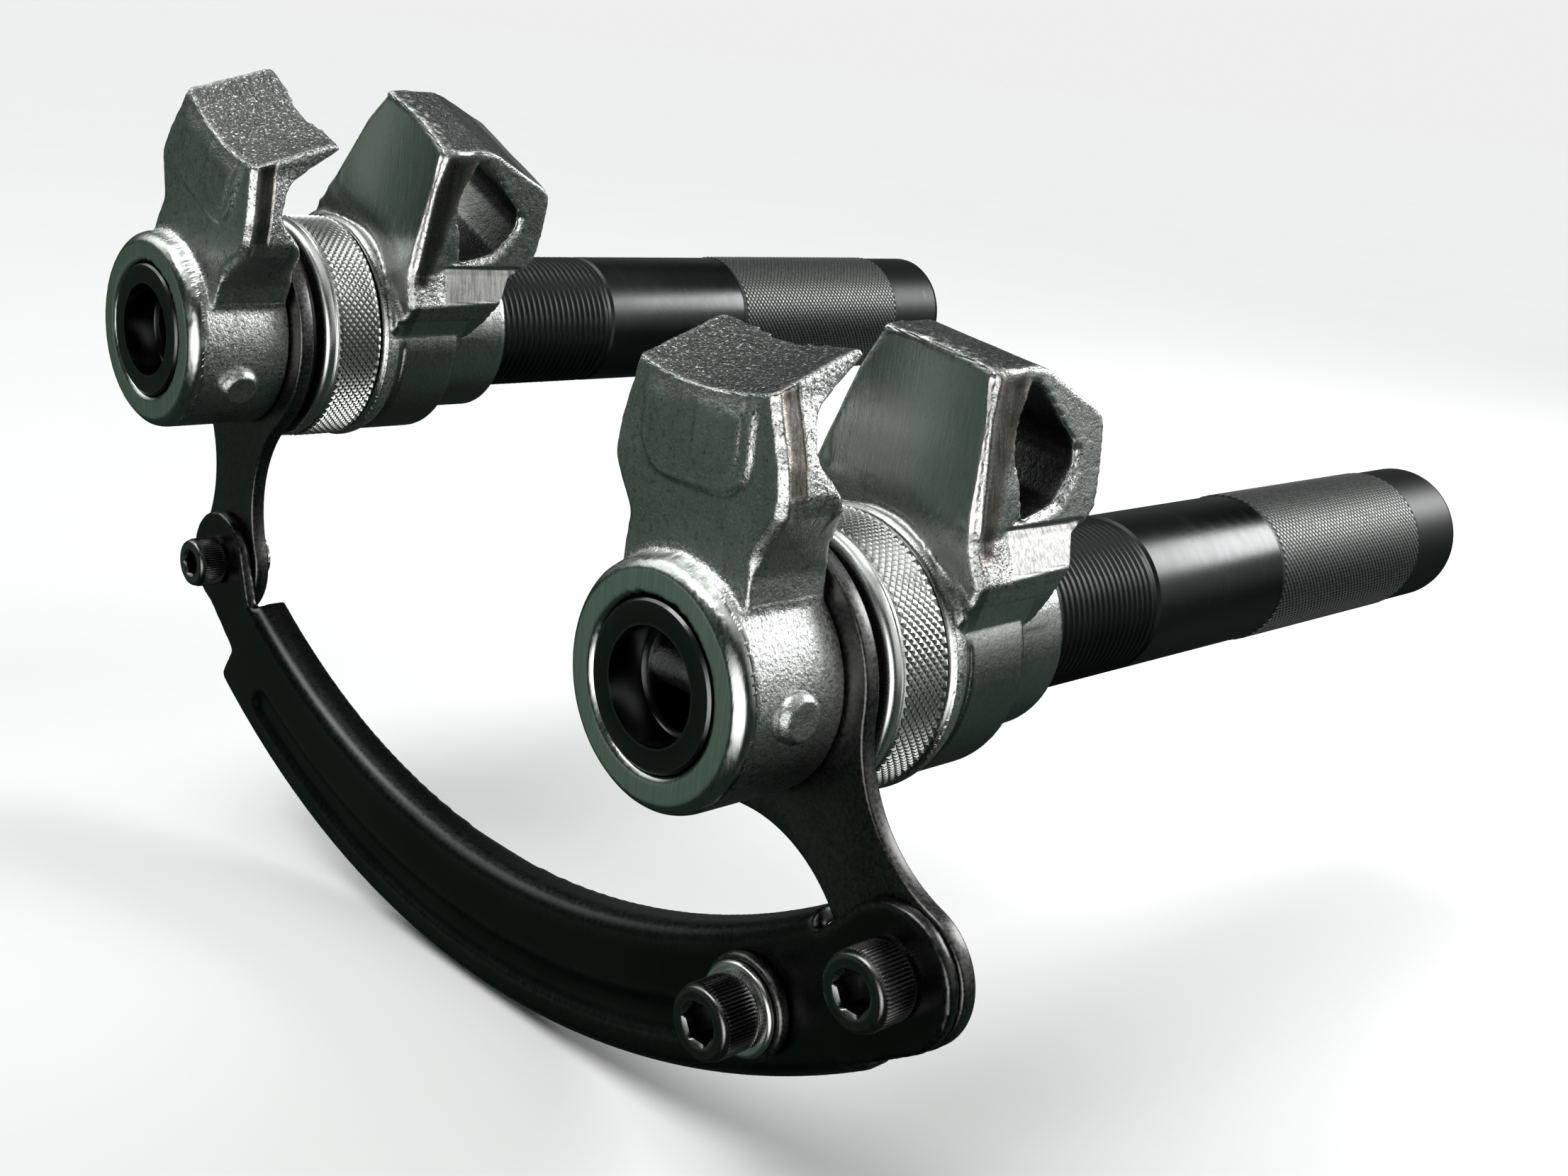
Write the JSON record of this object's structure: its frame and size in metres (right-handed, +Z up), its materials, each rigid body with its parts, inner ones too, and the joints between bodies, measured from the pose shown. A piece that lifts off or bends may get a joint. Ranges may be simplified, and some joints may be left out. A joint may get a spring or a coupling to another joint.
{
  "type": "coil spring compressor",
  "caption": "Coil spring compressor with two threaded tubes, each carrying a fixed and a nut-driven sliding claw, joined by swinging link plates on a curved channel arm.",
  "frame": {"origin": "mouth of the near tube, on its axis", "axes": "+X along the tubes towards their knurled grips, +Y from the near tube to the far tube, +Z up on the side the claws point to"},
  "size_m": [0.2896, 0.2952, 0.2033],
  "materials": {
    "forged_zinc": "zinc plated forging, grainy",
    "bright_zinc": "bright zinc plate",
    "ground_steel": "ground",
    "black_steel": "black oxide, satin",
    "black_plate": "black oxide, satin",
    "black_arm": "black lacquer, satin",
    "black_screw": "black oxide, lightly oiled"
  },
  "bodies": {
    "arm_body": {"curved_arm": "black_arm", "stop_screw": "black_screw", "stop_washer": "bright_zinc", "stop_collar": "black_plate", "stop_back_washer": "bright_zinc", "stop_nut": "black_screw", "near_pivot_screw": "black_screw", "near_pivot_bush": "ground_steel", "near_pivot_washer": "bright_zinc", "near_pivot_nut": "black_screw", "far_pivot_screw": "black_screw", "far_pivot_bush": "ground_steel", "far_pivot_washer": "bright_zinc", "far_pivot_nut": "black_screw"},
    "near_link_body": {"near_link": "black_plate"},
    "near_tube_body": {"near_tube": "black_steel", "near_cross_pin": "forged_zinc", "near_fixed_claw": "forged_zinc", "near_stop_plate": "black_plate", "near_clip": "black_steel"},
    "near_slider_body": {"near_sliding_claw": "forged_zinc", "near_retaining_ring": "black_steel", "near_bearing_cage": "ground_steel", "near_bearing_rear": "ground_steel"},
    "near_nut_body": {"near_knurled_nut": "bright_zinc", "near_bearing_front": "ground_steel"},
    "far_link_body": {"far_link": "black_plate"},
    "far_tube_body": {"far_tube": "black_steel", "far_cross_pin": "forged_zinc", "far_fixed_claw": "forged_zinc", "far_stop_plate": "black_plate", "far_clip": "black_steel"},
    "far_slider_body": {"far_sliding_claw": "forged_zinc", "far_retaining_ring": "black_steel", "far_bearing_cage": "ground_steel", "far_bearing_rear": "ground_steel"},
    "far_nut_body": {"far_knurled_nut": "bright_zinc", "far_bearing_front": "ground_steel"}
  },
  "joints": [
    {"name": "near_link_swing", "type": "hinge", "parent": "arm_body", "child": "near_link_body", "pos_m": [0.0294, -0.04672, -0.04591], "axis": [1, 0, 0], "range_deg": [-4, 25]},
    {"name": "near_tube_turn", "type": "hinge", "parent": "near_link_body", "child": "near_tube_body", "pos_m": [0.0294, 0, 0], "axis": [1, 0, 0], "range_deg": [-60, 60]},
    {"name": "near_claw_slide", "type": "slide", "parent": "near_tube_body", "child": "near_slider_body", "axis": [1, 0, 0], "range_m": [0, 0.0402]},
    {"name": "near_nut_turn", "type": "hinge", "parent": "near_slider_body", "child": "near_nut_body", "pos_m": [0.043, 0, 0], "axis": [1, 0, 0], "range_deg": [0, 7200]},
    {"name": "far_link_swing", "type": "hinge", "parent": "arm_body", "child": "far_link_body", "pos_m": [0.0294, 0.20796, -0.03585], "axis": [1, 0, 0], "range_deg": [-25, 25]},
    {"name": "far_tube_turn", "type": "hinge", "parent": "far_link_body", "child": "far_tube_body", "pos_m": [0.0294, 0.2035, 0.0295], "axis": [1, 0, 0], "range_deg": [-60, 60]},
    {"name": "far_claw_slide", "type": "slide", "parent": "far_tube_body", "child": "far_slider_body", "axis": [1, 0, 0], "range_m": [0, 0.0402]},
    {"name": "far_nut_turn", "type": "hinge", "parent": "far_slider_body", "child": "far_nut_body", "pos_m": [0.043, 0.2035, 0.0295], "axis": [1, 0, 0], "range_deg": [0, 7200]}
  ],
  "couplings": [
    {"joint": "near_claw_slide", "follows": "near_nut_turn", "m_per_rad": 0.00031831},
    {"joint": "far_claw_slide", "follows": "far_nut_turn", "m_per_rad": 0.00031831}
  ]
}
